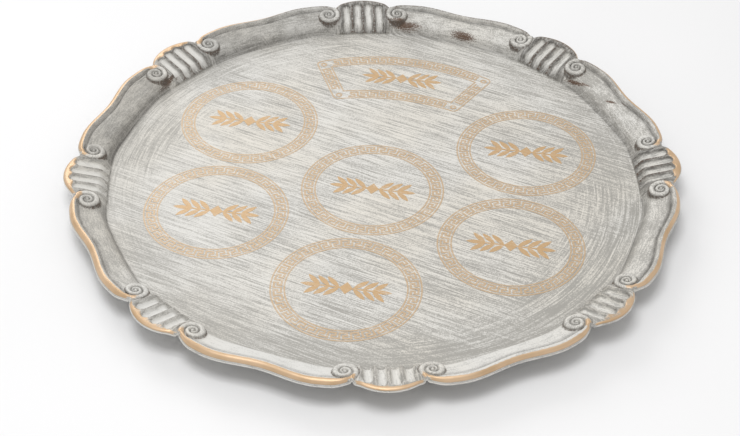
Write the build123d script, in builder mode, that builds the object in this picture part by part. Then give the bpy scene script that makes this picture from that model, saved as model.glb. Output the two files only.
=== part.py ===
from build123d import *
import os
from math import asin, cos, degrees, pi, radians, sin, sqrt

# Round scalloped seder plate, in millimetres. The axis of the dish is Z, the foot ring stands on z = 0,
# and the first fluted lobe points along +X.

# Overall sizes of the dish
overall_diameter = 330.0  # across two opposite flute tips
floor_height = 6.0  # top of the dish floor above the table
rim_rise = 9.4  # rim land above the dish floor, and radius of the quarter-round wall
rim_width = 22.4  # from a flute tip in to the edge of the floor
wall = 3.0  # thickness of the moulding
foot_inset = 8.0  # foot ring in from the edge of the floor
foot_width = 4.0

# Scalloped outline: eight fluted lobes with a bow-shaped panel between each two
lobe_count = 8
lobe_width = 34.8  # between the notches at the sides of a lobe
notch_drop = 6.6  # drops are radial distances in from the flute tips
shoulder_drop = 4.0
hump_drop = 2.6
middle_drop = 6.0
shoulder_setback = 5.5  # setbacks are distances along the edge from a notch
hump_setback = 16.1

# Flutes: parallel gouged scoops on each lobe
lobe_rise = 1.0  # lobes stand this much prouder than the panels
scoop_count = 4
lobe_margin = 4.4  # plain strip beside the outer scoops
scoop_ridge = 0.8  # width left between two scoops
scoop_depth = 2.0
scoop_foot = 2.6  # foot of a scoop above the floor
scoop_edge = 3.4  # lobe edge outside the tip of a scoop

# Scrolls at the ends of the panels
scroll_radius = 6.6
scroll_overlap = 3.4  # scroll over the side of its lobe
scroll_inset = 7.8  # scroll centre in from the notch radius
scroll_rise = 1.2  # scroll disc above the rim land
scroll_ridge = 1.6  # width of the spiral ridge and of the furrow beside it
scroll_ridge_rise = 0.6
scroll_margin = 0.4  # scroll disc outside the spiral ridge
scroll_eye_radius = 1.0

# Bead along a panel's edge, marked off by a groove
bead_width = 5.0
groove_width = 0.8
groove_depth = 0.6

# Gilding on the rim land
gilding_width = 2.8
gilding_thickness = 0.2
gilding_inset = 0.3  # gilding in from the outer edge
gilding_clearance = 0.3  # gilding beside scrolls, notches and scoops

# Gold transfers on the floor
transfer_thickness = 0.1
print_turn = -12.0  # degrees from the rim's axes to the print's axes
print_margin = 15.8  # bare floor outside the print
column_gap = 1.2  # between the ring columns, side by side
row_gap = 3.6  # between the rings of one column
column_rise = 2.05  # outer columns up from the plate's axis
centre_drop = 4.9  # middle ring down from the plate's axis
line_width = 0.8  # border lines of a transfer
line_gap = 0.7  # between a border line and the key
key_stroke = 1.05
key_rise = 1.9  # between the bars of the key
key_pitch = 5.66  # one unit of the key, as near as whole units allow

# Fan-shaped transfer above the rings
fan_top_margin = 7.1  # fan's top in from the reach of the print
fan_bottom_drop = 3.2  # fan's lower edge under the tops of the outer rings
fan_arc_radius = 106.0
fan_top_half = 52.3
fan_bottom_half = 35.0
fan_corner_radius = 3.5
fan_corner_space = 8.6  # along each side, from the corner to the start of its key

# Leaf sprig in the middle of each transfer
mark_margin = 7.2  # from the sprig's ends to the ring's inner line
leaf_length = 10.0
leaf_width = 2.8
leaf_angle = 45.0
leaf_pairs = 3
stem_width = 1.0
lozenge_width = 7.0
lozenge_height = 9.0

# Derived sizes
tip_radius = overall_diameter / 2
notch_radius = tip_radius - notch_drop
floor_radius = tip_radius - rim_width
land_radius = floor_radius + rim_rise
land_height = floor_height + rim_rise
lobe_height = land_height + lobe_rise
sector = 360 / lobe_count
notch_angle = degrees(asin(lobe_width / 2 / notch_radius))
beyond_tip = tip_radius + wall  # past every lobe, before the outline is cut
foot_radius = floor_radius - foot_inset

scoop_pitch = (lobe_width - 2 * lobe_margin) / scoop_count
scoop_half = (scoop_pitch - scoop_ridge) / 2
gouge_radius = (scoop_half**2 + scoop_depth**2) / (2 * scoop_depth)
gouge_reach = rim_rise + lobe_rise + gouge_radius - scoop_depth  # gouge axis from the wall's centre
scoop_places = [(i - (scoop_count - 1) / 2) * scoop_pitch for i in range(scoop_count)]

lobe_bulge = tip_radius - notch_radius * cos(radians(notch_angle))
lobe_edge_radius = ((lobe_width / 2) ** 2 + lobe_bulge**2) / (2 * lobe_bulge)
scroll_x = notch_radius - scroll_inset
scroll_y = lobe_width / 2 + scroll_radius - scroll_overlap

band_width = 2 * (line_width + line_gap + key_rise) + key_stroke
print_reach = floor_radius - print_margin
# Largest rings whose outer columns still lie within the reach of the print
half_row = row_gap / 2 + column_rise
ring_sum = 2 * column_gap + half_row + print_reach
ring_diameter = (sqrt(ring_sum**2 - 4 * (column_gap**2 + half_row**2 - print_reach**2)) - ring_sum) / 2
ring_radius = ring_diameter / 2
column = ring_diameter + column_gap
row = ring_diameter + row_gap
ring_places = {
    "centre": (0, -centre_drop),
    "bottom": (0, -centre_drop - row),
    "upper_left": (-column, column_rise + row / 2),
    "lower_left": (-column, column_rise - row / 2),
    "upper_right": (column, column_rise + row / 2),
    "lower_right": (column, column_rise - row / 2),
}
fan_top = print_reach - fan_top_margin
fan_bottom = column_rise + row / 2 + ring_radius - fan_bottom_drop
mark_length = ring_diameter - 2 * band_width - 2 * mark_margin

print_plane = Plane(
    origin=(0, 0, floor_height),
    x_dir=(cos(radians(print_turn)), sin(radians(print_turn)), 0),
    z_dir=(0, 0, 1),
)


def on_rim(radius, angle):
    """Point of the plan at a radius and an angle about the plate's axis."""
    return (radius * cos(radians(angle)), radius * sin(radians(angle)))


def lobe_points(index, inset):
    """Notch, tip and notch of a fluted lobe, moved in by the inset."""
    middle = index * sector
    return [
        on_rim(notch_radius - inset, middle - notch_angle),
        on_rim(tip_radius - inset, middle),
        on_rim(notch_radius - inset, middle + notch_angle),
    ]


def panel_points(index, inset):
    """Points of a panel's double-humped edge, from notch to notch, moved in by the inset."""
    middle = (index + 0.5) * sector
    half = sector / 2 - notch_angle
    rise = [
        (notch_drop, half),
        (shoulder_drop, half - degrees(shoulder_setback / tip_radius)),
        (hump_drop, half - degrees(hump_setback / tip_radius)),
    ]
    before = [on_rim(tip_radius - drop - inset, middle - angle) for drop, angle in rise]
    after = [on_rim(tip_radius - drop - inset, middle + angle) for drop, angle in reversed(rise)]
    return before + [on_rim(tip_radius - middle_drop - inset, middle)] + after


def save(part, name):
    """Labels one finished piece and writes it."""
    part.label = name
    export_step(part, f"parts/{name}.step")


os.makedirs("parts", exist_ok=True)

# Lobe: a thicker stretch of the wall and rim, under the flutes
with BuildPart() as lobe:
    with BuildSketch(Plane.XZ.rotated((0, 0, -notch_angle))):
        with BuildLine():
            outer = rim_rise + lobe_rise
            inner = rim_rise - wall / 2
            centre = (land_radius, floor_height)
            CenterArc(centre, outer, 90, 90)
            CenterArc(centre, inner, 90, 90)
            Polyline(
                (land_radius - outer, floor_height),
                (land_radius - outer, floor_height - wall / 2),
                (land_radius - inner, floor_height - wall / 2),
                (land_radius - inner, floor_height),
            )
            Polyline(
                (land_radius, floor_height + outer),
                (beyond_tip, floor_height + outer),
                (beyond_tip, floor_height + inner),
                (land_radius, floor_height + inner),
            )
        make_face()
    revolve(axis=Axis.Z, revolution_arc=2 * notch_angle)

# Scroll: a disc with a spiral ridge of three half turns and an eye
with BuildPart() as scroll:
    with BuildSketch(Plane((scroll_x, scroll_y, land_height - wall))):
        Circle(scroll_radius)
    extrude(amount=wall + scroll_rise)
    with BuildSketch(Plane((scroll_x, scroll_y, land_height + scroll_rise))):
        with BuildLine():
            first = scroll_radius - scroll_margin - scroll_ridge / 2
            second = first - scroll_ridge
            third = second - scroll_ridge
            CenterArc((0, 0), first, 0, -180)
            CenterArc((second - first, 0), second, 180, -180)
            CenterArc((0, 0), third, 0, -180)
        trace(line_width=scroll_ridge)
        Circle(scroll_eye_radius)
    extrude(amount=scroll_ridge_rise)


def scoop_tip(aside):
    """Distance from the plate's axis to the middle of a scoop's round tip."""
    lobe_edge = tip_radius - lobe_edge_radius + sqrt(lobe_edge_radius**2 - aside**2)
    return lobe_edge - scoop_edge - scoop_half


def scoop(aside):
    """Gouge that cuts one scoop: up the wall from its foot, then out along the lobe to a round tip."""
    start = degrees(asin(scoop_foot / gouge_reach))
    tip = scoop_tip(aside)
    off_wall = (-cos(radians(start)), 0, sin(radians(start)))
    with BuildPart() as gouge:
        with BuildLine(Plane.XZ.offset(-aside)) as path:
            CenterArc((land_radius, floor_height), gouge_reach, 180 - start, start - 90)
            Line((land_radius, floor_height + gouge_reach), (tip, floor_height + gouge_reach))
        with BuildSketch(Plane(path.line @ 0, x_dir=off_wall, z_dir=path.line % 0)):
            Circle(gouge_radius)
        sweep(path=path.line)
        with Locations(
            Plane(path.line @ 0, x_dir=off_wall, z_dir=(0, -1, 0)),
            Plane(path.line @ 1, x_dir=(0, 0, 1), z_dir=(0, 1, 0)),
        ):
            Sphere(gouge_radius, arc_size3=180, align=None)
    return gouge.part


scoops = [scoop(aside) for aside in scoop_places]

# Moulded dish
with BuildPart() as tray_body:
    with BuildSketch(Plane.XZ):
        with BuildLine():
            centre = (land_radius, floor_height)
            floor_under = floor_height - wall
            rim_under = land_height - wall
            Line((0, floor_height), (floor_radius, floor_height))
            CenterArc(centre, rim_rise, 90, 90)
            Polyline(
                (land_radius, land_height),
                (beyond_tip, land_height),
                (beyond_tip, rim_under),
                (land_radius, rim_under),
            )
            CenterArc(centre, rim_rise - wall, 90, 90)
            CenterArc((floor_radius, floor_height), wall, 270, 90)
            Polyline(
                (floor_radius, floor_under),
                (foot_radius, floor_under),
                (foot_radius, 0),
                (foot_radius - foot_width, 0),
                (foot_radius - foot_width, floor_under),
                (0, floor_under),
                (0, floor_height),
            )
        make_face()
    revolve(axis=Axis.Z)
    with PolarLocations(0, lobe_count):
        add(lobe.part)
    with BuildSketch():
        with BuildLine():
            for k in range(lobe_count):
                ThreePointArc(*lobe_points(k, 0))
                Spline(*panel_points(k, 0))
        make_face()
    extrude(amount=lobe_height + wall, mode=Mode.INTERSECT)
    with BuildSketch(Plane.XY.offset(land_height)):
        for k in range(lobe_count):
            with BuildLine():
                Spline(*panel_points(k, bead_width)[1:-1])
            trace(line_width=groove_width)
    extrude(amount=-groove_depth, mode=Mode.SUBTRACT)
    with PolarLocations(0, lobe_count):
        add(scroll.part)
        add(mirror(scroll.part, about=Plane.XZ, mode=Mode.PRIVATE))
    with PolarLocations(0, lobe_count):
        for gouge in scoops:
            add(gouge, mode=Mode.SUBTRACT)
save(tray_body.part, "tray_body")


def wedge(middle, half):
    """Corners of a slice of the plan, kept clear of its two straight sides by the gilding's clearance."""
    apex = on_rim(gilding_clearance / sin(radians(half)), middle)
    sides = [on_rim(2 * beyond_tip, middle - half), on_rim(2 * beyond_tip, middle + half)]
    return [apex] + [(apex[0] + x, apex[1] + y) for x, y in sides]


def cut_scroll_beds(index):
    """Takes the beds of the two scrolls beside a lobe out of the sketch in hand."""
    with PolarLocations(0, 1, start_angle=index * sector):
        with Locations((scroll_x, scroll_y), (scroll_x, -scroll_y)):
            Circle(scroll_radius + gilding_clearance, mode=Mode.SUBTRACT)


# Gilding on the panels, a strip along the outer edge of the rim land
for k in range(lobe_count):
    with BuildPart() as panel_gilding:
        with BuildSketch(Plane.XY.offset(land_height)):
            with BuildLine():
                Spline(*panel_points(k, gilding_inset + gilding_width / 2))
            trace(line_width=gilding_width)
            with BuildLine():
                Polyline(*wedge((k + 0.5) * sector, sector / 2 - notch_angle), close=True)
            make_face(mode=Mode.INTERSECT)
            cut_scroll_beds(k)
            cut_scroll_beds(k + 1)
        extrude(amount=gilding_thickness)
    save(panel_gilding.part, f"panel_gilding_{k + 1}")

# Gilding on the lobes, a crescent whose teeth run in between the tips of the scoops
for k in range(lobe_count):
    with BuildPart() as flute_gilding:
        with BuildSketch(Plane.XY.offset(lobe_height)):
            outer_notch, outer_tip, outer_last = lobe_points(k, gilding_inset)
            inner_notch, _, inner_last = lobe_points(k, gilding_inset + gilding_width)
            inner_tip = on_rim(tip_radius - scoop_edge - scoop_half, k * sector)
            with BuildLine():
                ThreePointArc(outer_notch, outer_tip, outer_last)
                Line(outer_last, inner_last)
                ThreePointArc(inner_last, inner_tip, inner_notch)
                Line(inner_notch, outer_notch)
            make_face()
            with BuildLine():
                Polyline(*wedge(k * sector, notch_angle), close=True)
            make_face(mode=Mode.INTERSECT)
            cut_scroll_beds(k)
            with PolarLocations(0, 1, start_angle=k * sector):
                with Locations(*[(scoop_tip(aside), aside) for aside in scoop_places]):
                    Circle(scoop_half + gilding_clearance, mode=Mode.SUBTRACT)
        extrude(amount=gilding_thickness)
    save(flute_gilding.part, f"flute_gilding_{k + 1}")


# Greek key: six corners of one unit, in steps along and bars across, and the way its left side turns there
key_unit = [(2, 0, -1, 1), (2, 1, -1, -1), (1, 1, -1, -1), (1, 2, -1, 1), (3, 2, 1, 1), (3, 0, 1, 1)]


def key_side(units, step, side):
    """One side of a key's stroke, along a straight strip: 1 for the left side and -1 for the right."""
    shift = side * key_stroke / 2
    return [
        ((3 * unit + along) * step + shift * turn_x, across * key_rise + shift * turn_y)
        for unit in range(units)
        for along, across, turn_x, turn_y in key_unit
    ]


def key_strip(length):
    """Closed outline of a key that starts and ends on its lowest bar, in about this length."""
    units = round(length / key_pitch)
    half = key_stroke / 2
    left = [(0, half)] + key_side(units, length / units / 3, 1)
    right = [(0, -half)] + key_side(units, length / units / 3, -1)
    left[-1] = (length + half, -half)
    right[-1] = (length - half, -half)
    return left + right[::-1]


def print_at(across, up):
    """Plane on the floor at a place of the print."""
    return Plane(
        origin=print_plane.from_local_coords((across, up, 0)),
        x_dir=print_plane.x_dir,
        z_dir=print_plane.z_dir,
    )


# Ring of the print: a Greek key between two lines
with BuildSketch() as ring_print:
    key_radius = ring_radius - band_width / 2
    lowest_bar = key_radius - key_rise
    units = round(2 * pi * key_radius / key_pitch)
    step = 2 * pi * key_radius / units / 3
    for side, mode in ((1, Mode.ADD), (-1, Mode.SUBTRACT)):
        corners = key_side(units, step, side)
        with BuildLine():
            Polyline(*[on_rim(lowest_bar + y, degrees(x / key_radius)) for x, y in corners], close=True)
        make_face(mode=mode)
    for radius in (ring_radius, ring_radius - band_width + line_width):
        with BuildSketch(mode=Mode.PRIVATE) as line:
            Circle(radius)
            Circle(radius - line_width, mode=Mode.SUBTRACT)
        add(line.sketch)

for place, (across, up) in ring_places.items():
    with BuildPart() as ring_transfer:
        with BuildSketch(print_at(across, up)):
            add(ring_print.sketch)
        extrude(amount=transfer_thickness)
    save(ring_transfer.part, f"ring_transfer_{place}")


def fan_corner(top, half):
    """Height of the fan's top or bottom arc at its corner."""
    return top - fan_arc_radius + sqrt(fan_arc_radius**2 - half**2)


# Fan: two arcs and two slanting sides, lined inside and out, with a key along each
with BuildSketch() as fan_shape:
    top_right = (fan_top_half, fan_corner(fan_top, fan_top_half))
    top_left = (-fan_top_half, top_right[1])
    bottom_right = (fan_bottom_half, fan_corner(fan_bottom, fan_bottom_half))
    bottom_left = (-fan_bottom_half, bottom_right[1])
    with BuildLine():
        ThreePointArc(top_left, (0, fan_top), top_right)
        Line(top_right, bottom_right)
        ThreePointArc(bottom_right, (0, fan_bottom), bottom_left)
        Line(bottom_left, top_left)
    make_face()
    fillet(fan_shape.vertices(), radius=fan_corner_radius)


def fan_key_on_arc(crown, half, low):
    """Outline of the key along an arc of the fan, from left to right, with its lowest bar at radius low."""
    middle = low + key_rise
    length = 2 * middle * asin(half / fan_arc_radius) - 2 * fan_corner_space
    return [
        (
            (low + y) * sin((x - length / 2) / middle),
            crown - fan_arc_radius + (low + y) * cos((x - length / 2) / middle),
        )
        for x, y in key_strip(length)
    ]


def fan_key_on_side(start, end):
    """Outline of the key along a straight side of the fan, which lies on its left."""
    first, last = Vector(*start), Vector(*end)
    way = (last - first).normalized()
    left = way.rotate(Axis.Z, 90)
    base = first + way * fan_corner_space - left * (band_width / 2 + key_rise)
    return [base + way * x + left * y for x, y in key_strip((last - first).length - 2 * fan_corner_space)]


with BuildPart() as fan_transfer:
    with BuildSketch(print_plane):
        for inset in (0, band_width - line_width):
            add(offset(fan_shape.sketch, amount=-inset, kind=Kind.INTERSECTION, mode=Mode.PRIVATE))
            offset(
                fan_shape.sketch,
                amount=-inset - line_width,
                kind=Kind.INTERSECTION,
                mode=Mode.SUBTRACT,
            )
        key_outlines = [
            fan_key_on_arc(fan_top, fan_top_half, fan_arc_radius - band_width / 2 - key_rise),
            fan_key_on_arc(fan_bottom, fan_bottom_half, fan_arc_radius + band_width / 2 - key_rise),
            fan_key_on_side(top_right, bottom_right),
            fan_key_on_side(bottom_left, top_left),
        ]
        for outline in key_outlines:
            with BuildLine():
                Polyline(*outline, close=True)
            make_face()
        corners = offset(
            fan_shape.sketch,
            amount=-band_width / 2,
            kind=Kind.INTERSECTION,
            mode=Mode.PRIVATE,
        ).vertices()
        with Locations(*[Vector(corner) for corner in corners]):
            Circle(key_rise)
        with Locations(*[Vector(corner) for corner in corners]):
            Circle(key_rise - key_stroke, mode=Mode.SUBTRACT)
    extrude(amount=transfer_thickness)
save(fan_transfer.part, "fan_transfer")

# Leaf sprig: a lozenge with a leafy stem to each side
with BuildSketch() as leaf:
    with BuildLine():
        ThreePointArc((0, 0), (leaf_length / 2, leaf_width / 2), (leaf_length, 0))
        ThreePointArc((leaf_length, 0), (leaf_length / 2, -leaf_width / 2), (0, 0))
    make_face()

with BuildSketch() as sprig:
    stem_end = mark_length / 2 - leaf_length
    leaf_pitch = (stem_end - lozenge_width / 2) / (leaf_pairs - 1)
    Rectangle(2 * (stem_end + leaf_width), stem_width)
    with BuildLine():
        Polyline(
            (lozenge_width / 2, 0),
            (0, lozenge_height / 2),
            (-lozenge_width / 2, 0),
            (0, -lozenge_height / 2),
            close=True,
        )
    make_face()
    with PolarLocations(0, 2):
        with Locations((stem_end, 0)):
            add(leaf.sketch)
        for i in range(leaf_pairs):
            with Locations((lozenge_width / 2 + i * leaf_pitch, 0)):
                add(leaf.sketch, rotation=leaf_angle)
                add(leaf.sketch, rotation=-leaf_angle)

mark_places = dict(ring_places, fan=(0, (fan_top + fan_bottom) / 2))
for place, (across, up) in mark_places.items():
    with BuildPart() as mark:
        with BuildSketch(print_at(across, up)):
            add(sprig.sketch)
        extrude(amount=transfer_thickness)
    save(mark.part, f"mark_{place}")
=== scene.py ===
import math
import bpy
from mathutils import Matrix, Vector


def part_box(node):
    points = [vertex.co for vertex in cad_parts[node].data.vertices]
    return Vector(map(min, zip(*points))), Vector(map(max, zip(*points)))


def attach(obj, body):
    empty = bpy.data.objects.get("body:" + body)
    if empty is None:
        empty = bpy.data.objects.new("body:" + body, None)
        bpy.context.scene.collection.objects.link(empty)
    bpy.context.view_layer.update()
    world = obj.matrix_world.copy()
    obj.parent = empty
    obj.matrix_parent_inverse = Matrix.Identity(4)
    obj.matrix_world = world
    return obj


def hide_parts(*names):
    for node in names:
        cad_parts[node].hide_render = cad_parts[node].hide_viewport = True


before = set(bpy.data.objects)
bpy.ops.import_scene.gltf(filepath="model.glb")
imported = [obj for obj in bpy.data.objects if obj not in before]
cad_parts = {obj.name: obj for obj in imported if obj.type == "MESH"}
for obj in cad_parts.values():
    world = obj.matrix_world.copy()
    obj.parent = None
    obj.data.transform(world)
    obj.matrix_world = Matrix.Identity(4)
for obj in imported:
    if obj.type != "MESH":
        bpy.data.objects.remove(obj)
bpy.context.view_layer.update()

from types import SimpleNamespace

import bpy
import numpy as np
from mathutils import Matrix, Vector

# Looks of a round scalloped seder plate. Sizes are in millimetres until a mesh is made.
MM = 0.001

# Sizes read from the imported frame
tip_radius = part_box("tray_body")[1][0] / MM
floor_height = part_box("ring_transfer_centre")[0][2] / MM
land_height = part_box("panel_gilding_1")[0][2] / MM
lobe_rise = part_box("flute_gilding_1")[0][2] / MM - land_height
rim_rise = land_height - floor_height

# Plan of the plate
lobe_count = 8
sector = 360 / lobe_count
rim_width = 22.4  # from a flute tip in to the foot of the wall
lobe_width = 34.8  # between the notches at the sides of a lobe
notch_drop = 6.6  # notch radius under the tip radius
panel_humps = [(5.5, 4.0), (16.1, 2.6)]  # along the edge from a notch, and drop from the tip radius
panel_dip = 6.0  # drop in the middle of a panel
crease_waves = [
    (0, -0.4), (7, 0.2), (11, 0.9), (16, 0.1), (22.5, -0.5),
]  # how far out the foot of the wall lies, by angle from the middle of a lobe
foot_rise = 5.2  # steep foot of the wall, under the gently sloping panel
foot_run = 5.0
foot_power = 2.0
crease_softness = 0.35

# Bead and groove along a panel's edge
bead_crest = 3.1  # crest of the bead in from the outline
bead_inner = 1.85  # from the crest in to the groove
bead_outer = 2.75  # from the crest out to the lip
bead_rise = 1.6
bead_fall = 2.7  # from the crest down to the lip
groove_inset = 4.95
groove_width = 0.5
groove_depth = 1.0
bead_turn = 1.2  # how far the bead and groove swing out into a scroll
bead_turn_length = 7.0  # along the edge, from the scroll's middle

# Edge under the bead: distance in from the outline, and drop from the last row of the top
edge_section = [
    (0.95, 0.36), (0.7, 0.74), (0.5, 1.17), (0.4, 1.53), (0.35, 2.04), (0.45, 2.2),
    (0.18, 2.32), (0.0, 2.5), (0.02, 2.85), (0.3, 3.1), (0.9, 3.2),
]
edge_start = 1.3
lip_inset = 0.35
waist_row = 4
gilded_edge_rows = 3

# Underside: radius and height of the foot ring's section and of the wall's back
wall = 3.0
foot_inset = 8.0
foot_width = 4.0
foot_round = 0.35
back_angles = (120, 150, 180)  # along the quarter round of the wall's back
back_corner = [(1.0, 1.2), (-1.5, 0.0)]  # out from the foot of the wall, and up from the back

# Flutes on each lobe
scoop_count = 4
scoop_pitch = 6.5
scoop_ridge = 0.5
scoop_depth = 2.3
scoop_power = 2.4  # how squarely a scoop is hollowed
scoop_edge = 3.0  # lobe edge outside the tip of a scoop
scoop_toe = 0.7  # wall left under the foot of a scoop
lobe_swell = 0.5  # crest of a lobe over its moulded height
lobe_shoulder = 12.8  # where a lobe starts to fall towards its notches
lobe_side_drop = 1.4
lobe_fall = 1.1  # from the tips of the scoops down to the lip
lobe_edge_ease = 0.58  # how much less the edge rolls over on a lobe

# Scrolls at the ends of the panels
scroll_centre = (150.6, 20.6)
scroll_tilt = 10  # degrees, leaning in
scroll_height = 16.1
scroll_furrow = 1.6
scroll_power = 2.6  # how squarely the ridge is rounded
scroll_skirt = 7.0  # slope of the scroll's sides
scroll_sink = 1.0  # where the ridge rises out of the bead
scroll_rising = 0.12  # in turns
scroll_blend = 0.25  # rounding where a scroll meets the rim
scroll_reach = [
    (0, 8.3), (0.25, 6.9), (0.5, 6.5), (0.75, 6.2), (1, 4.4), (1.25, 3.6), (1.5, 3.0), (1.75, 2.4),
    (2, 1.7), (2.5, 1.2), (3, 1.0),
]  # outer side of the ridge from the scroll's middle, by turns from the bead

# Gilding
gilding_width = 3.15
gilding_fade = 0.6
gilding_far_loss = 1.6  # how much narrower along the far edge, where the gold lies in shade: thinner brushing and painted shade
gilding_right_loss = 0.9  # and along the right edge
gilding_lobe_loss = 0.2  # and on a lobe
gilding_end_loss = 0.4  # share of the width lost towards the ends of a lobe
gilding_turn_loss = 0.4  # share of the bead's swing into a scroll that stays bare
gilding_end = 3.5  # bare lip beside a notch
gilding_lift = 0.05
gilding_skin = 0.12
gilding_least = 0.03  # thinnest share of gold that still counts as gilded
tooth_root = 2.9
tooth_length = 6.6
tooth_back_loss = 0.8
tooth_front_loss = 0.7

# Sides of the plate that differ in their paint, and in their painted shade and highlight, in
# degrees
front_side = -90
right_side = -35
# Side with the heaviest wash and painted shade
wash_and_shade_side = 60
back_side = 70
left_side = 140

# Dark wash and painted shade, as a share of full cover
wash_and_shade_least = 0.2  # on the side with the lightest wash and painted shade
flank_shade = 0.85  # painted shade on the sides of the scoops
crest_wash = 0.5  # ridges between the scoops
toe_wash_and_shade = 0.6  # dark wash and painted shade at the feet of the scoops
# Painted shade on a lobe's falling sides and in its crease
lobe_side_shade = 0.6
lobe_crease_shade = 0.4
furrow_front_loss = 0.45
groove_wash = 0.85
groove_shade = 0.45  # on the panel beside the groove
groove_shade_inset = 1.0
groove_shade_width = 1.0
# Dark wash and painted shade in the crease at the foot of the wall
crease_wash_and_shade = 0.45
crease_shade = 0.4  # up the wall from the crease
# Painted shade on the left side's panels and wall feet, and along the far side's bead
left_panel_shade = 0.4
left_foot_shade = 0.75
back_bead_shade = 0.3
gilding_wash_loss = 0.9
# Painted shade on the gold along the front side
gilding_front_shade = 0.22
# Painted shade lines along the lower side of the gold and under the edge's waist
edge_line_shade = 0.5
lip_wash = 0.0
# The whole underside is painted darker
underside_darkening = 0.35

# Painted highlight in a light whitewash, brown wear, and painted brown shadow
scroll_highlight = 0.3
scroll_back_loss = 0.7
scoop_highlight = 0.8
scoop_back_loss = 0.3
scoop_right_loss = 0.45
panel_highlight = 0.7
lip_highlight = 0.6
ring_shadow = 0.9  # painted brown shadow line round a scroll, where it stands over the rim
# Painted brown shade along the far edge, where the gold lies in shade
back_edge_shadow = 0.7

# Mesh density, by degrees from the middle of a lobe
flute_half = 5.2
flute_columns = 26
scroll_end = 10.6
scroll_columns = 42
panel_columns = 10
inner_radius = 140.4
section_steps = 400
wall_rows = 36
bead_row_step = 0.4
bead_rows = 16

# Derived sizes
notch_radius = tip_radius - notch_drop
notch_angle = math.degrees(math.asin(lobe_width / 2 / notch_radius))
floor_radius = tip_radius - rim_width
lobe_bulge = tip_radius - notch_radius * math.cos(math.radians(notch_angle))
lobe_edge_radius = ((lobe_width / 2) ** 2 + lobe_bulge**2) / (2 * lobe_bulge)
scoop_half = (scoop_pitch - scoop_ridge) / 2


def smooth_step(x, low, high):
    """0 at low, 1 at high, with an easy start and end."""
    t = np.clip((x - low) / (high - low), 0, 1)
    return t * t * (3 - 2 * t)


def fade_out(x, low, high):
    """1 at low, 0 at high, with an easy start and end."""
    return 1 - smooth_step(x, low, high)


def band(x, middle, width):
    """Soft band about a middle line."""
    return np.exp(-(((x - middle) / width) ** 2))


def facing(turn, side, low, high):
    """1 on the side of the plate at an angle in degrees, fading to 0 away from it."""
    return smooth_step(np.cos(turn - math.radians(side)), low, high)


def through(x, knots):
    """Smooth curve through the knots, read at x."""
    xs, ys = np.array(knots, dtype=float).T
    slopes = np.gradient(ys, xs)
    i = np.clip(np.searchsorted(xs, x) - 1, 0, len(xs) - 2)
    h = xs[i + 1] - xs[i]
    t = (x - xs[i]) / h
    start = ys[i] * (1 + 2 * t) * (1 - t) ** 2 + slopes[i] * h * t * (1 - t) ** 2
    end = ys[i + 1] * t**2 * (3 - 2 * t) + slopes[i + 1] * h * t**2 * (t - 1)
    return start + end


def mirrored(knots, middle):
    """The knots, and their mirror image beyond the middle angle."""
    return knots + [(2 * middle - x, y) for x, y in reversed(knots) if x < middle]


def outline(angle):
    """Radius of the scalloped edge at an angle from the middle of a flute."""
    a = np.radians(np.minimum(angle, notch_angle))
    c = tip_radius - lobe_edge_radius
    lobe = c * np.cos(a) + np.sqrt(lobe_edge_radius**2 - (c * np.sin(a)) ** 2)
    knots = [(notch_angle, notch_radius)]
    for along, drop in panel_humps:
        knots.append((notch_angle + math.degrees(along / tip_radius), tip_radius - drop))
    knots.append((sector / 2, tip_radius - panel_dip))
    panel = through(np.maximum(angle, notch_angle), mirrored(knots, sector / 2))
    return np.where(angle < notch_angle, lobe, panel)


def column_angles():
    """Angles of all columns: close by the flutes, closest on the scrolls and wide on the panels."""
    half = np.concatenate([
        np.linspace(0, flute_half, flute_columns, endpoint=False),
        np.linspace(flute_half, scroll_end, scroll_columns, endpoint=False),
        np.linspace(scroll_end, sector / 2, panel_columns, endpoint=False),
    ])
    one = np.concatenate([half, [sector / 2], sector - half[:0:-1]])
    return np.concatenate([one + k * sector for k in range(lobe_count)])


def wall_height(radius, crease, edge):
    """Height of the plain rim over the floor: soft crease, steep foot and gently sloping panel."""
    run = crease_softness * np.logaddexp(0, (radius - crease) / crease_softness)
    steep = 1 - (1 - np.clip(run / foot_run, 0, 1)) ** foot_power
    slope = np.clip(run / (edge - groove_inset - crease), 0, 1)
    return foot_rise * steep + (rim_rise - foot_rise) * slope


def base_rows(edge, crease):
    """Rows of the plain rim: radius, height and length from the crease, by row and column."""
    steps = np.linspace(0, 1, section_steps)[:, None]
    r = inner_radius + (edge - edge_start - inner_radius) * steps
    z = wall_height(r, crease, edge)
    lengths = np.hypot(np.diff(r, axis=0), np.diff(z, axis=0))
    run = np.vstack([np.zeros_like(edge), np.cumsum(lengths, axis=0)])
    rows = wall_rows + bead_rows
    bead_run = bead_rows * bead_row_step
    out = np.empty((3, rows + 1, len(edge)))
    for j in range(len(edge)):
        inner = np.linspace(0, run[-1, j] - bead_run, wall_rows + 1)
        outer = run[-1, j] - bead_row_step * np.arange(bead_rows - 1, -1, -1)
        at = np.concatenate([inner, outer])
        out[0, :, j] = np.interp(at, run[:, j], r[:, j])
        out[1, :, j] = np.interp(at, run[:, j], z[:, j])
        out[2, :, j] = at - np.interp(crease[j], r[:, j], run[:, j])
    return out


def scoops(x, y, along):
    """Share of the full depth of the flutes' scoops: 1 on their middle lines, 0 on the ridges."""
    depth = np.zeros_like(x)
    for k in range(scoop_count):
        middle = (k - (scoop_count - 1) / 2) * scoop_pitch
        lobe_edge = tip_radius - lobe_edge_radius + math.sqrt(lobe_edge_radius**2 - middle**2)
        tip = lobe_edge - scoop_edge - scoop_half
        foot = scoop_toe + scoop_half
        beyond = np.maximum(np.maximum(x - tip, foot - along), 0)
        inside = np.clip(1 - np.hypot(beyond, y - middle) / scoop_half, 0, 1)
        depth = np.maximum(depth, 1 - (1 - inside) ** scoop_power)
    return depth


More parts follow.
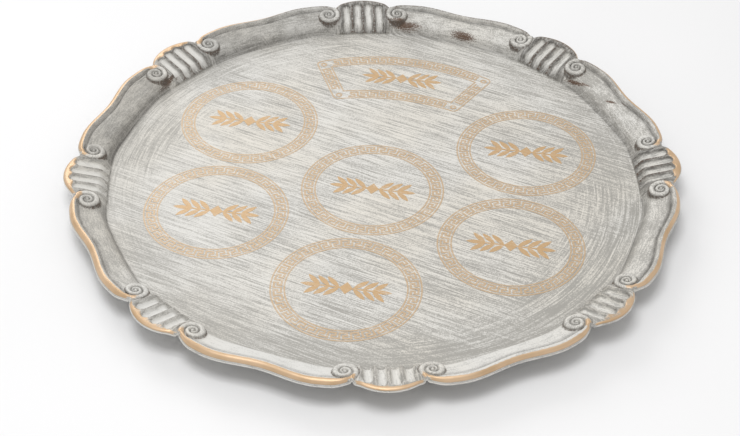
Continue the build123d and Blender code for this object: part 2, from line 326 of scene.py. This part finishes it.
def scroll(x, y):
    """A scroll's surface and where each point lies on its spiral ridge."""
    dx, dy = x - scroll_centre[0], y - scroll_centre[1]
    rho = np.hypot(dx, dy)
    turns = np.mod(-np.degrees(np.arctan2(dy, dx)), 360) / 360
    outer, middle, eye = (through(turns + k, scroll_reach) for k in range(3))
    first = rho > middle
    across = np.where(first, (rho - middle) / (outer - middle), (rho - eye) / (middle - eye))
    furrow = np.abs(2 * np.clip(across, 0, 1) - 1) ** scroll_power
    furrow = np.where(rho < eye, smooth_step(rho, 0.4 * eye, eye), furrow)
    plane = scroll_height + dx * math.tan(math.radians(scroll_tilt))
    sunk = np.where(first, fade_out(turns, 0, scroll_rising), 0)
    skirt = scroll_skirt * np.maximum(rho - outer, 0)
    height = plane - scroll_furrow * furrow - skirt - scroll_sink * sunk
    return SimpleNamespace(
        height=height, furrow=furrow, turns=turns, share=rho / outer, sunk=sunk, first=first
    )


def soft_max(a, b, k):
    """The greater of two heights, rounded over about k where they meet."""
    h = np.clip(0.5 + 0.5 * (a - b) / k, 0, 1)
    return b + (a - b) * h + k * h * (1 - h)


def rim_shape():
    """Top of the plate by rows and columns, and where its lobes, panels and scrolls lie."""
    theta = column_angles()
    signed = np.mod(theta + sector / 2, sector) - sector / 2
    off = np.abs(signed)
    edge = outline(off)
    crease = floor_radius + through(off, mirrored(crease_waves, sector / 2))
    r, h, along = base_rows(edge, crease)
    z = floor_height + h

    # Lobes and scoops stand on the wall's own normal
    dr, dz = np.gradient(r, axis=0), np.gradient(z, axis=0)
    size = np.hypot(dr, dz)
    phi = np.radians(off)[None, :]
    x, y = r * np.cos(phi), r * np.sin(phi)
    scoop = scoops(x, r * np.sin(np.radians(signed)[None, :]), along)
    on_lobe = fade_out(y, lobe_width / 2 - 0.2, lobe_width / 2 + 0.8)
    fall = smooth_step(y, lobe_shoulder, lobe_width / 2)
    lobe_height = lobe_rise + lobe_swell - lobe_side_drop * fall
    push = on_lobe * lobe_height * smooth_step(along, -0.6, 1.6) - scoop_depth * scoop
    r = r - dz / size * push
    z = z + dr / size * push

    # Bead and groove along the panels
    inset = edge[None, :] - r
    on_panel = smooth_step(y, lobe_width / 2 - 0.4, lobe_width / 2 + 1.0)
    swing = bead_turn * fade_out(y, scroll_centre[1], scroll_centre[1] + bead_turn_length)
    inward = inset - bead_crest + swing
    inner_side = bead_rise * np.clip(1 - (inward / bead_inner) ** 2, 0, 1)
    outward = np.clip(-inward / (bead_outer - swing), 0, 1)
    outer_side = bead_rise - bead_fall * (1 - np.sqrt(1 - outward**2))
    bead = np.where(inward > 0, inner_side, outer_side)
    groove = band(inset + swing, groove_inset, groove_width)
    z = z + on_panel * (bead - groove_depth * groove)

    # Lobes roll over to their outer edge
    rolled = np.clip((scoop_edge - inset) / (scoop_edge - lip_inset), 0, 1)
    z = z - lobe_fall * on_lobe * (1 - np.sqrt(1 - rolled**2))

    # Scrolls over the ends of the panels
    curl = scroll(x, y)
    inside = fade_out(curl.share, 0.97, 1.02) * (1 - curl.sunk)
    on_scroll = np.maximum(inside, smooth_step(curl.height - z, -0.1, 0.2))
    z = soft_max(z, curl.height, scroll_blend) * (1 - inside) + curl.height * inside

    plain = 1 - on_scroll
    on_wall = smooth_step(along, -0.3, 1.0)
    return SimpleNamespace(
        theta=theta, turn=np.radians(theta)[None, :], edge=edge, r=r, z=z, y=y, along=along,
        inset=inset, scoop=scoop, fall=fall, swing=swing, groove=groove, curl=curl,
        on_lobe=on_lobe, on_panel=on_panel, on_scroll=on_scroll, on_wall=on_wall, plain=plain,
        flute=on_lobe * on_wall * plain, panel=(1 - on_lobe) * smooth_step(along, -0.5, 4.0),
    )


def plate_sides(turn):
    """How far each column lies on the sides of the plate that differ in their paint, and in their
    painted shade and highlight.
    """
    left = facing(turn, left_side, 0.3, 0.95)
    return SimpleNamespace(
        # Wash and painted shade heavier towards the far right; painted crease shade heavier across
        # the left and right, most on the left
        heavy=wash_and_shade_least + (1 - wash_and_shade_least) * facing(turn, wash_and_shade_side, -0.5, 0.6),
        across=0.65 + 0.5 * np.cos(turn) ** 2 + 0.4 * left,
        left=left,
        front=facing(turn, front_side, 0.4, 0.95),
        back=facing(turn, back_side, 0.6, 0.9),
        right=facing(turn, right_side, 0.5, 0.85),
    )


def wash_and_painted_shade(rim, side):
    """Dark wash left in the hollows, and painted shade: in the creases and up the walls' steep
    feet, on the scoops' sides, beside the groove, on the lobes' sides, and on the left and far
    sides.
    """
    # Painted shade in the crease and up the wall's steep foot, heavier across the left and right
    crease = crease_wash_and_shade * band(rim.along, 0.2, 0.8) + crease_shade * band(rim.along, 2.2, 2.2)
    crease = side.across * crease * rim.plain
    # Painted shade on the sides of the scoops
    flank = rim.flute * fade_out(rim.scoop, 0.35, 1.0) * (1 - rim.fall)
    crest = rim.flute * fade_out(rim.scoop, 0.02, 0.3) * (1 - rim.fall)
    toe = rim.scoop * rim.on_wall * fade_out(rim.along, 1.5, 6.0) * rim.plain
    furrow = rim.on_scroll * smooth_step(rim.curl.furrow, 0.18, 0.72)
    past_groove = rim.inset + rim.swing - groove_inset
    # Painted shadow on the panel beside the groove
    beside_groove = band(past_groove, groove_shade_inset, groove_shade_width)
    on_plain_panel = rim.plain * rim.on_panel
    off_lobe = (1 - rim.on_lobe) * rim.plain
    return np.maximum.reduce([
        flank_shade * side.heavy * flank,
        crest_wash * (1 - side.front) * crest,
        toe_wash_and_shade * side.heavy * toe,
        (1 - furrow_front_loss * side.front) * furrow,
        groove_wash * on_plain_panel * rim.groove,
        groove_shade * on_plain_panel * beside_groove,
        crease * (1 - rim.on_lobe),
        lobe_crease_shade * crease * rim.on_lobe,
        # Painted shade on the lobes' sides, the left side's panels and wall feet, and the far bead
        lobe_side_shade * side.heavy * rim.flute * rim.fall,
        left_panel_shade * side.left * rim.panel,
        back_bead_shade * side.back * fade_out(rim.inset, 3.8, 6.0) * rim.plain,
        left_foot_shade * side.left * band(rim.along, 2.5, 3.0) * off_lobe,
    ])


def painted_highlight_mask(rim, side):
    """Painted highlight in a light whitewash on the scrolls' ridges, in the scoops' hollows and on
    the front side's panels, less on the far side, and in the scoops less on the right.
    """
    scroll_share = scroll_highlight * (1 - scroll_back_loss * side.back)
    scoop_share = scoop_highlight - scoop_back_loss * side.back - scoop_right_loss * side.right
    hollow = smooth_step(rim.scoop, 0.3 + 0.45 * side.back, 1.0) * smooth_step(rim.along, 1, 5)
    return np.maximum.reduce([
        scroll_share * rim.on_scroll * fade_out(rim.curl.furrow, 0.1, 0.6),
        scoop_share * rim.flute * hollow,
        panel_highlight * side.front * rim.panel * rim.plain,
    ])


def wear_and_painted_shadow(rim, side):
    """Brown wear on the ridges between the scoops, and painted brown shadow round the scrolls and
    along the far edge.
    """
    ridge = fade_out(rim.scoop, 0.02, 0.3) * fade_out(rim.y, lobe_shoulder - 2, lobe_shoulder)
    ridge = ridge * smooth_step(rim.inset, tooth_length - 2.5, tooth_length)
    ridge = ridge * smooth_step(rim.along, 0.6, 2.0) * rim.plain
    # Painted brown shadow line round a scroll, where it stands over the rim
    ring = band(rim.curl.share, 1.0, 0.04) * (1 - rim.curl.sunk)
    ring = ring * smooth_step(rim.curl.turns, 0.1, 0.2)
    # Painted brown shade along the far edge, where the gold lies in shade
    far_edge = side.back * fade_out(rim.inset, 2.4, 3.6) * rim.plain
    return np.maximum.reduce([side.heavy * ridge, ring_shadow * ring, back_edge_shadow * far_edge])


def gilding(rim, side):
    """Gold along the edge, into the scrolls and between the scoops, and its share at each lip; left
    thinner on the far side as painted shade.
    """
    # Gold left thinner on the far side, and off the far side's teeth and hooks, as painted shade
    # where the gold lies in shade
    width = gilding_width - gilding_far_loss * side.back - gilding_right_loss * side.right
    width = width - gilding_lobe_loss * rim.on_lobe - gilding_turn_loss * rim.swing
    width = width * (1 - gilding_end_loss * rim.on_lobe * (2 * rim.y / lobe_width) ** 2)
    on_bead = fade_out(rim.inset, width - gilding_fade, width + gilding_fade)
    ends = smooth_step(np.abs(rim.y[-1] - lobe_width / 2), 0.3, gilding_end)
    on_bead = on_bead * (1 - (1 - ends) * fade_out(rim.inset, 0.9, 1.6))
    tooth = fade_out(rim.inset, tooth_root, tooth_length) * fade_out(rim.scoop, 0.05, 0.4)
    tooth = tooth * fade_out(rim.y, lobe_shoulder - 2.5, lobe_shoulder + 1.0)
    tooth = tooth * (1 - tooth_back_loss * side.back) * (1 - tooth_front_loss * side.front)
    on_lobe = np.maximum(on_bead, tooth)
    hook = (1 - rim.curl.furrow) * fade_out(rim.curl.turns, 0.05, 0.26) * rim.curl.first
    hook = hook * fade_out(rim.curl.share, 0.95, 1.05)
    gold = np.where(rim.y < lobe_width / 2, on_lobe, on_bead) * rim.plain
    return np.maximum(gold, hook * (1 - side.back)), ends


def rim_surface():
    """Points of the whole plate by rows and columns, with the masks of its paints, of its painted
    shade and of its painted highlight.
    """
    rim = rim_shape()
    side = plate_sides(rim.turn)
    gold, ends = gilding(rim, side)
    # Dark wash and painted shade, mostly left off under the gold, and painted shade on the gold
    # along the front side
    wash_and_shade = wash_and_painted_shade(rim, side) * (1 - gilding_wash_loss * gold)
    wash_and_shade = wash_and_shade + gilding_front_shade * side.front * gold
    masks = {
        "wash_and_shade": wash_and_shade,
        "gold": gold,
        "wear_and_shadow": wear_and_painted_shadow(rim, side),
        "flute": rim.flute,
        "panel": rim.panel,
        "painted_highlight": painted_highlight_mask(rim, side),
    }

    # Edge and underside
    rows = edge_rows(rim.edge, rim.z[-1], rim.on_lobe[-1]) + back_rows(rim.edge)
    r = np.vstack([rim.r] + [row[0] for row in rows])
    z = np.vstack([rim.z] + [row[1] for row in rows])
    blank = np.zeros((len(rows), len(rim.edge)))
    masks = {name: np.vstack([mask, blank]) for name, mask in masks.items()}
    top = len(wash_and_shade)
    for k, row in enumerate(rows):
        # Painted shade lines on the edge, and the underside painted darker
        masks["wash_and_shade"][top + k] = row[2]
    gilded = top + gilded_edge_rows
    # Painted highlight on the lip under the gold
    masks["painted_highlight"][gilded:top + len(edge_section)] = lip_highlight
    masks["gold"][top:gilded] = ends
    masks["gold"][gilded:top + waist_row] = ends * rim.on_lobe[-1]
    points = np.stack([r * np.cos(rim.turn), r * np.sin(rim.turn), z], axis=-1) * MM
    return points, masks, rim.theta


def edge_rows(edge, top, on_lobe):
    """Rows of the rolled edge and of the lip under it: radius, height and painted shade."""
    waist = edge_section[waist_row][1]
    rows = []
    for k, (inward, drop) in enumerate(edge_section):
        eased = drop - lobe_edge_ease * on_lobe * min(drop, waist)
        # Painted shade lines along the lower side of the gold and under the waist
        lined = k in (gilded_edge_rows - 1, waist_row + 1)
        rows.append((edge - inward, top - eased, edge_line_shade if lined else lip_wash))
    return rows


def back_rows(edge):
    """Rows of the underside: radius, height and how much darker it is painted."""
    rows = []
    for radius, height in underside():
        rows.append((np.full_like(edge, radius), np.full_like(edge, height), underside_darkening))
    return rows


def underside():
    """Section of the plate's back, from under the rim to the middle."""
    land = floor_radius + rim_rise
    back = rim_rise - wall
    section = [(land, land_height - wall)]
    for degrees in back_angles:
        a = math.radians(degrees)
        section.append((land + back * math.cos(a), floor_height + back * math.sin(a)))
    under = floor_height - wall
    outer = floor_radius - foot_inset
    inner = outer - foot_width
    section += [(floor_radius + out, under + up) for out, up in back_corner]
    section += [
        (outer, under),
        (outer, foot_round),
        (outer - foot_round, 0),
        (inner + foot_round, 0),
        (inner, foot_round),
        (inner, under),
    ]
    return section


def grid_faces(rows, columns):
    """Quads of a grid whose columns close into a ring, facing up on the plate's top."""
    i, j = np.meshgrid(np.arange(rows - 1), np.arange(columns), indexing="ij")
    k = (j + 1) % columns
    here, below = i * columns, (i + 1) * columns
    return np.stack([here + j, below + j, below + k, here + k], axis=-1).reshape(-1, 4)


def make_piece(name, points, faces, masks, material, nodes):
    """New smooth piece from points and faces, with its masks, riding on the plate."""
    mesh = bpy.data.meshes.new(name)
    mesh.from_pydata(points.tolist(), [], faces)
    for mask, values in masks.items():
        layer = mesh.attributes.new(mask, "FLOAT", "POINT")
        layer.data.foreach_set("value", values.astype(np.float32))
    mesh.shade_smooth()
    mesh.materials.append(material)
    piece = bpy.data.objects.new(name, mesh)
    bpy.context.scene.collection.objects.link(piece)
    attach(piece, "root")
    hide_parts(*nodes)
    return piece


class Tree:
    """A material's node tree, built in short calls."""

    def __init__(self, name):
        self.material = bpy.data.materials.new(name)
        self.material.use_nodes = True
        self.nodes = self.material.node_tree.nodes
        self.links = self.material.node_tree.links
        self.shader = self.nodes["Principled BSDF"]
        self.place = self.add("ShaderNodeTexCoord").outputs["Object"]

    def add(self, kind, inputs=None, **settings):
        """A new node with its settings and inputs: numbers, colours or other nodes' outputs."""
        node = self.nodes.new(kind)
        for key, value in settings.items():
            setattr(node, key, value)
        for key, value in (inputs or {}).items():
            self.feed(node, key, value)
        return node

    def feed(self, node, key, value):
        """Sets an input, or links it to an output."""
        if isinstance(value, bpy.types.NodeSocket):
            self.links.new(value, node.inputs[key])
        else:
            node.inputs[key].default_value = value

    def math(self, operation, a, b=0.0):
        return self.add("ShaderNodeMath", {0: a, 1: b}, operation=operation).outputs[0]

    def between(self, value, low, high, start=0.0, end=1.0):
        """The value's way from low to high, eased, as start to end."""
        inputs = {"Value": value, "From Min": low, "From Max": high, "To Min": start, "To Max": end}
        return self.add("ShaderNodeMapRange", inputs, interpolation_type="SMOOTHSTEP").outputs[0]

    def noise(self, vector, scale, detail=3.0, roughness=0.55):
        inputs = {"Vector": vector, "Scale": scale, "Detail": detail, "Roughness": roughness}
        return self.add("ShaderNodeTexNoise", inputs).outputs["Fac"]

    def blend(self, share, a, b):
        """Colour from a to b."""
        node = self.add("ShaderNodeMix", data_type="RGBA")
        for key, value in ((0, share), (6, a), (7, b)):
            self.feed(node, key, value)
        return node.outputs[2]

    def number(self, share, a, b):
        """Number from a to b."""
        node = self.add("ShaderNodeMix", data_type="FLOAT")
        for key, value in ((0, share), (2, a), (3, b)):
            self.feed(node, key, value)
        return node.outputs[0]

    def mask(self, name):
        return self.add("ShaderNodeAttribute", attribute_name=name).outputs["Fac"]

    def stretched(self, vector, turn, along, across):
        """The place, turned by degrees and scaled to strokes of a length and a width in metres."""
        inputs = {"Vector": vector, "Rotation": (0, 0, math.radians(turn))}
        turned = self.add("ShaderNodeMapping", inputs).outputs[0]
        scaled = {"Vector": turned, "Scale": (1 / along, 1 / across, stroke_depth)}
        return self.add("ShaderNodeMapping", scaled).outputs[0]


# Brush strokes: lengths and widths in metres, turns in degrees
floor_stroke = (0.018, 0.0006)
rim_stroke = (0.026, 0.00085)
sweep_stroke = (0.03, 0.002)
panel_stroke = (0.006, 0.001)
flute_stroke = (0.0008, 0.006)
hair_stroke = (0.022, 0.0005)
stroke_turn = 29  # brings the strokes of the floor onto the X axis
hair_turn = 27
panel_slant = 12
stroke_depth = 60  # scale of the strokes up the plate's axis
rim_reach = 0.15  # radius at which the strokes round the rim keep their length

# Scales of the noise in the paints, per metre
drift_scale = 14.0
patch_scale = 22.0
sheen_scale = 60.0
mottle_scale = 130.0
brush_scale = 420.0
fleck_scale = 700.0
wash_grain_scale = 900.0
grain_scale = 1600.0

# Gloss and relief
stroke_roughness = (0.56, 0.42)  # from the grey to the white
paint_roughness = 0.5
gold_roughness = 0.4
gilding_metal = 0.42
foil_metal = 0.2
stroke_relief = 0.0004
body_relief = 0.35
gold_relief = 0.25

# Colours of the paints
stroke_grey = (0.34, 0.33, 0.304, 1)
off_white = (0.69, 0.682, 0.65, 1)
warm_white = (0.69, 0.662, 0.6, 1)
# Cool white of the painted highlight
highlight_white = (0.76, 0.765, 0.755, 1)
# Dark grey of the wash and of the painted shade
wash_and_shade_grey = (0.075, 0.07, 0.064, 1)
# Brown of the wear, of the painted brown shadow and of the painted shade on the gold
wear_and_shadow_brown = (0.09, 0.055, 0.035, 1)
spot_brown = (0.1, 0.053, 0.028, 1)
gold_paint = (0.69, 0.495, 0.32, 1)
gold_shade = (0.58, 0.4, 0.235, 1)
ring_gold = (0.53, 0.385, 0.24, 1)
mark_gold = (0.545, 0.36, 0.185, 1)
worn_spots = [
    (146.4, 80.2, 8.0, 1.6, 0.0), (145.0, 66.0, 6.5, 1.4, 0.0), (146.3, 34.1, 7.0, 0.7, -0.23),
    (149.0, 23.7, 2.6, 0.7, -0.5), (153.6, 21.4, 3.0, 0.6, 0.0), (145.0, 141.8, 7.0, 0.8, 0.0),
]  # radius, angle, half length along the rim, half width and slant, in millimetres and degrees
spot_roughness = 4.0


def whitewash(tree):
    """Whitewashed grey paint: its colour, strokes and patches, by the place on the plate, with
    painted shade near the rim and painted highlight.
    """
    split = tree.add("ShaderNodeSeparateXYZ", {0: tree.place}).outputs
    x, y, z = split[0], split[1], split[2]
    squares = tree.math("ADD", tree.math("MULTIPLY", x, x), tree.math("MULTIPLY", y, y))
    radius = tree.math("SQRT", squares)
    angle = tree.math("ARCTAN2", y, x)
    level = tree.math("ADD", radius, z)

    def around(length, width, slant=0.0):
        """Place along and across the rim for strokes of a length and width, slanted in degrees."""
        lean = math.tan(math.radians(slant)) / rim_reach
        turned = tree.math("ADD", angle, tree.math("MULTIPLY", level, lean))
        east = tree.math("MULTIPLY", tree.math("COSINE", turned), rim_reach / length)
        north = tree.math("MULTIPLY", tree.math("SINE", turned), rim_reach / length)
        up = tree.math("DIVIDE", level, width)
        return tree.add("ShaderNodeCombineXYZ", {0: east, 1: north, 2: up}).outputs[0]

    def strokes(place):
        """Brush strokes from a stretched place, from 0 to 1."""
        return tree.number(0.15, tree.noise(place, 1.0, 3.0, 0.6), tree.noise(place, 0.33, 2.0))

    straight = strokes(tree.stretched(tree.place, stroke_turn, *floor_stroke))
    circling = strokes(around(*rim_stroke))
    drift = tree.noise(tree.place, drift_scale, 2.0)
    reach = tree.math("ADD", radius, tree.between(drift, 0.3, 0.7, -0.012, 0.012))
    crosswise = tree.between(tree.math("MULTIPLY", x, y), 0.002, -0.006, 0.32, 0.68)
    near_rim = tree.math("MULTIPLY", tree.between(reach, 0.09, 0.14), crosswise)
    sweep = tree.noise(around(*sweep_stroke), 1.0, 3.0)
    swept = tree.between(tree.math("ADD", near_rim, sweep), 0.6, 1.3)
    stroke = tree.number(swept, straight, circling)
    patch = tree.noise(tree.place, patch_scale, 3.0)
    mottle = tree.noise(tree.place, mottle_scale, 4.0, 0.6)
    lengthwise = tree.number(0.4, strokes(around(*panel_stroke, panel_slant)), mottle)
    stroke = tree.number(tree.mask("panel"), stroke, lengthwise)
    stroke = tree.number(tree.mask("flute"), stroke, strokes(around(*flute_stroke)))
    grain = tree.noise(tree.place, grain_scale, 2.0)
    cover = tree.number(tree.between(tree.mask("panel"), 0.0, 1.0, 0.31, 0.42), stroke, grain)
    boldness = tree.between(x, -0.14, 0.1, 0.75, 1.25)
    bolder = tree.math("MULTIPLY", tree.math("SUBTRACT", cover, 0.5), boldness)
    cover = tree.math("ADD", bolder, 0.5)
    cover = tree.math("ADD", cover, tree.between(patch, 0.3, 0.7, -0.02, 0.02))
    # Painted shade: the floor darker towards the near right and near the rim
    aside = tree.math("SUBTRACT", tree.math("MULTIPLY", x, 0.8), tree.math("MULTIPLY", y, 0.6))
    cover = tree.math("ADD", cover, tree.between(aside, 0.0, 0.13, 0.01, -0.03))
    cover = tree.math("ADD", cover, tree.between(radius, 0.1, 0.135, 0.005, -0.02))
    # Painted shadow of the near rim on the floor at its foot
    foot = tree.math("MULTIPLY", tree.between(radius, 0.115, 0.142), tree.between(y, -0.06, -0.13))
    foot = tree.math("MULTIPLY", foot, tree.between(z, 0.0065, 0.0095, 0.03, 0.0))
    # Painted highlight lightens the whitewash
    painted_highlight = tree.mask("painted_highlight")
    cover = tree.math("SUBTRACT", cover, foot)
    cover = tree.math("ADD", cover, tree.math("MULTIPLY", painted_highlight, 0.12))
    hairs = tree.noise(tree.stretched(tree.place, hair_turn, *hair_stroke), 1.0, 2.0)
    cover = tree.math("SUBTRACT", cover, tree.between(hairs, 0.64, 0.74, 0.0, 0.14))
    white = tree.blend(tree.between(drift, 0.35, 0.65), off_white, warm_white)
    paint = tree.blend(tree.between(cover, 0.39, 0.585), stroke_grey, white)
    # Painted shade: greyer near the rim, most in the near rim's shadow
    rim_shade = tree.between(radius, 0.1, 0.135, 0.0, 0.1)
    rim_shade = tree.math("ADD", rim_shade, tree.math("MULTIPLY", foot, 4.0))
    paint = tree.blend(rim_shade, paint, stroke_grey)
    # Painted highlight in a cool white
    paint = tree.blend(tree.math("MULTIPLY", painted_highlight, 0.45), paint, highlight_white)
    rough = tree.math("MULTIPLY", tree.math("ADD", circling, grain), spot_roughness)
    return with_spots(tree, paint, radius, angle, rough), stroke, patch


def with_spots(tree, paint, radius, angle, rough):
    """The paint with the worn spots on the rim, where the grey coat shows brown."""
    for spot_radius, spot_angle, half_length, half_width, slant in worn_spots:
        step = half_length / spot_radius
        along = tree.math("SUBTRACT", angle, math.radians(spot_angle))
        along = tree.math("DIVIDE", along, step)
        middle = tree.math("MULTIPLY", along, slant * half_length * MM)
        middle = tree.math("ADD", middle, spot_radius * MM)
        across = tree.math("DIVIDE", tree.math("SUBTRACT", radius, middle), half_width * MM)
        near = tree.math("MULTIPLY", across, across)
        near = tree.math("ADD", near, tree.math("MULTIPLY", along, along))
        ragged = tree.math("ADD", near, rough)
        paint = tree.blend(tree.between(ragged, 6.2, 4.0), paint, spot_brown)
    return paint


def with_wash_and_shade(tree, paint, stroke):
    """The paint, darkened by the dark wash and painted shade, and browned by wear and painted brown
    shadow.
    """
    grain = tree.noise(tree.place, wash_grain_scale, 3.0)
    # How far the wash and painted shade is rubbed away, from the strokes and a grain
    wear_and_shadow = tree.math("ADD", tree.math("MULTIPLY", stroke, 0.6), tree.math("MULTIPLY", grain, 0.5))
    share = tree.math("MULTIPLY", tree.mask("wash_and_shade"), tree.between(wear_and_shadow, 0.72, 0.4, 0.55, 1.0))
    washed_and_shaded = tree.blend(share, paint, wash_and_shade_grey)
    # Brown wear and painted brown shadow
    wear_and_shadow_share = tree.math("MULTIPLY", tree.mask("wear_and_shadow"), tree.between(grain, 0.62, 0.42))
    return tree.blend(wear_and_shadow_share, washed_and_shaded, wear_and_shadow_brown)


def finish_paint(tree, stroke, patch, strength):
    """Relief of the brush strokes on the shader."""
    relief = tree.math("ADD", stroke, tree.math("MULTIPLY", patch, 0.25))
    settings = {"Strength": strength, "Distance": stroke_relief, "Height": relief}
    bump = tree.add("ShaderNodeBump", settings)
    tree.feed(tree.shader, "Normal", bump.outputs[0])


def body_material():
    """Whitewashed moulding with dark wash in its hollows, painted shade and painted highlight."""
    tree = Tree("whitewash")
    paint, stroke, patch = whitewash(tree)
    tree.feed(tree.shader, "Base Color", with_wash_and_shade(tree, paint, stroke))
    tree.feed(tree.shader, "Roughness", tree.between(stroke, 0.35, 0.65, *stroke_roughness))
    finish_paint(tree, stroke, patch, body_relief)
    return tree.material


def gilding_material():
    """Brushed gold paint that thins out into the whitewash at its edges."""
    tree = Tree("gilding")
    paint, stroke, patch = whitewash(tree)
    brush = tree.noise(tree.place, brush_scale, 3.0)
    ragged = tree.math("ADD", tree.mask("gold"), tree.between(brush, 0.25, 0.75, -0.15, 0.15))
    share = tree.between(ragged, 0.3, 0.7)
    sheen = tree.between(tree.noise(tree.place, sheen_scale), 0.3, 0.65)
    gold = tree.blend(sheen, gold_shade, gold_paint)
    # Painted shade on the gold: browned along its lower side and on the front side
    gold = tree.blend(tree.math("MULTIPLY", tree.mask("wash_and_shade"), 0.4), gold, wear_and_shadow_brown)
    tree.feed(tree.shader, "Base Color", tree.blend(share, with_wash_and_shade(tree, paint, stroke), gold))
    tree.feed(tree.shader, "Metallic", tree.math("MULTIPLY", share, gilding_metal))
    tree.feed(tree.shader, "Roughness", tree.number(share, paint_roughness, gold_roughness))
    finish_paint(tree, stroke, patch, gold_relief)
    return tree.material


def print_material(name, ink, cover_low, cover_high, most):
    """Worn gold foil, with the strokes of the paint under it showing through."""
    tree = Tree(name)
    paint, stroke, patch = whitewash(tree)
    fleck = tree.noise(tree.place, fleck_scale, 3.0)
    left = tree.math("ADD", tree.math("MULTIPLY", stroke, 0.7), tree.math("MULTIPLY", fleck, 0.4))
    share = tree.between(left, cover_low, cover_high, most, 0.4)
    tree.feed(tree.shader, "Base Color", tree.blend(share, paint, ink))
    tree.feed(tree.shader, "Metallic", tree.math("MULTIPLY", share, foil_metal))
    tree.feed(tree.shader, "Roughness", tree.number(share, paint_roughness, gold_roughness))
    finish_paint(tree, stroke, patch, gold_relief)
    return tree.material


def make_plate():
    """The moulded plate and the gilding on its sixteen edges."""
    points, masks, theta = rim_surface()
    rows, columns, _ = points.shape
    flat = points.reshape(-1, 3)
    quads = grid_faces(rows, columns)
    floor = list(range(columns))
    back = list(range((rows - 1) * columns, rows * columns))[::-1]
    faces = quads.tolist() + [floor, back]
    masks = {name: mask.ravel() for name, mask in masks.items()}
    body = make_piece(
        "tray_body_shell", flat, faces, masks, body_material(), ["tray_body"]
    )
    normals = np.empty(len(flat) * 3, dtype=np.float32)
    body.data.vertex_normals.foreach_get("vector", normals)
    lifted = flat + normals.reshape(-1, 3) * gilding_lift * MM
    gilded = masks["gold"][quads].max(axis=1) > gilding_least
    middle = theta[quads[:, 0] % columns]
    off = np.mod(middle + sector / 2, sector) - sector / 2
    on_lobe = np.abs(off) < notch_angle
    material = gilding_material()
    for k in range(lobe_count):
        from_lobe = np.abs(np.mod(middle - k * sector + 180, 360) - 180)
        from_panel = np.abs(middle - (k + 0.5) * sector)
        lobe = gilded & on_lobe & (from_lobe < sector / 2)
        panel = gilded & ~on_lobe & (from_panel < sector / 2)
        for name, chosen in ((f"flute_gilding_{k + 1}", lobe), (f"panel_gilding_{k + 1}", panel)):
            used, faces = np.unique(quads[chosen], return_inverse=True)
            own_masks = {mask: values[used] for mask, values in masks.items()}
            faces = faces.reshape(-1, 4).tolist()
            skin = make_piece(
                name + "_skin", lifted[used], faces, own_masks, material, [name]
            )
            thick = skin.modifiers.new("skin", "SOLIDIFY")
            thick.thickness = gilding_skin * MM
            thick.offset = -1


def dress_prints():
    """Foil material on the transfers and marks."""
    ring = print_material("ring_foil", ring_gold, 0.54, 0.72, 0.95)
    mark = print_material("mark_foil", mark_gold, 0.56, 0.78, 0.98)
    for name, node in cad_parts.items():
        if name.endswith("transfer") or name.startswith("ring_transfer"):
            node.material_slots[0].material = ring
        elif name.startswith("mark_"):
            node.material_slots[0].material = mark


# Photograph's view, in degrees and millimetres, about the plate's axis at the level of the rim
camera_turn = -3.036
camera_rise = 39.964
camera_roll = 0.9
camera_distance = 899.9
camera_aside = -2.28
camera_up = -25.95
camera_lens = 82.0

# Stage, in metres and watts
floor_half = 6.0
floor_roughness = 0.7
floor_pale = [(0.825, 0.83, 0.84, 1), (0.85, 0.855, 0.865, 1)]
surround_white = (1.0, 0.985, 0.97, 1)
surround_strength = 0.62
key_lamp = {"place": (-0.15, -0.33, 1.3), "size": 0.6, "power": 8.0}
back_lamp = {"place": (-0.5, 1.2, 0.9), "size": 0.8, "power": 6.6}


def make_camera():
    """Camera at the photograph's viewing angle."""
    turn, rise, roll = (math.radians(a) for a in (camera_turn, camera_rise, camera_roll))
    flat = math.cos(rise)
    back = Vector((math.sin(turn) * flat, -math.cos(turn) * flat, math.sin(rise)))
    level = Vector((math.cos(turn), math.sin(turn), 0))
    upright = back.cross(level)
    right = level * math.cos(roll) + upright * math.sin(roll)
    up = upright * math.cos(roll) - level * math.sin(roll)
    place = Vector((0, 0, land_height)) + back * camera_distance
    place = place + right * camera_aside + up * camera_up
    data = bpy.data.cameras.new("camera")
    data.lens = camera_lens
    data.clip_end = 100
    camera = bpy.data.objects.new("camera", data)
    axes = Matrix((right, up, back)).transposed().to_4x4()
    camera.matrix_world = Matrix.Translation(place * MM) @ axes
    bpy.context.scene.collection.objects.link(camera)
    bpy.context.scene.camera = camera


def make_lamp(name, place, size, power):
    """Square soft lamp that faces the plate."""
    data = bpy.data.lights.new(name, "AREA")
    data.size = size
    data.energy = power
    lamp = bpy.data.objects.new(name, data)
    lamp.location = place
    lamp.rotation_euler = (-Vector(place)).to_track_quat("-Z", "Y").to_euler()
    bpy.context.scene.collection.objects.link(lamp)


def make_stage():
    """Pale floor, soft lamps and a white surround."""
    mesh = bpy.data.meshes.new("floor")
    corners = [(-1, -1), (1, -1), (1, 1), (-1, 1)]
    mesh.from_pydata([(x * floor_half, y * floor_half, 0) for x, y in corners], [], [(0, 1, 2, 3)])
    tree = Tree("pale_floor")
    mottle = tree.noise(tree.place, 3.0, 2.0)
    tree.feed(tree.shader, "Base Color", tree.blend(tree.between(mottle, 0.3, 0.7), *floor_pale))
    tree.shader.inputs["Roughness"].default_value = floor_roughness
    mesh.materials.append(tree.material)
    floor = bpy.data.objects.new("floor", mesh)
    bpy.context.scene.collection.objects.link(floor)

    world = bpy.data.worlds.new("surround")
    world.use_nodes = True
    bpy.context.scene.world = world
    background = world.node_tree.nodes["Background"]
    background.inputs["Color"].default_value = surround_white
    background.inputs["Strength"].default_value = surround_strength
    make_lamp("key", **key_lamp)
    make_lamp("back", **back_lamp)


bpy.context.scene.view_settings.view_transform = "Standard"
make_camera()
make_stage()
make_plate()
dress_prints()
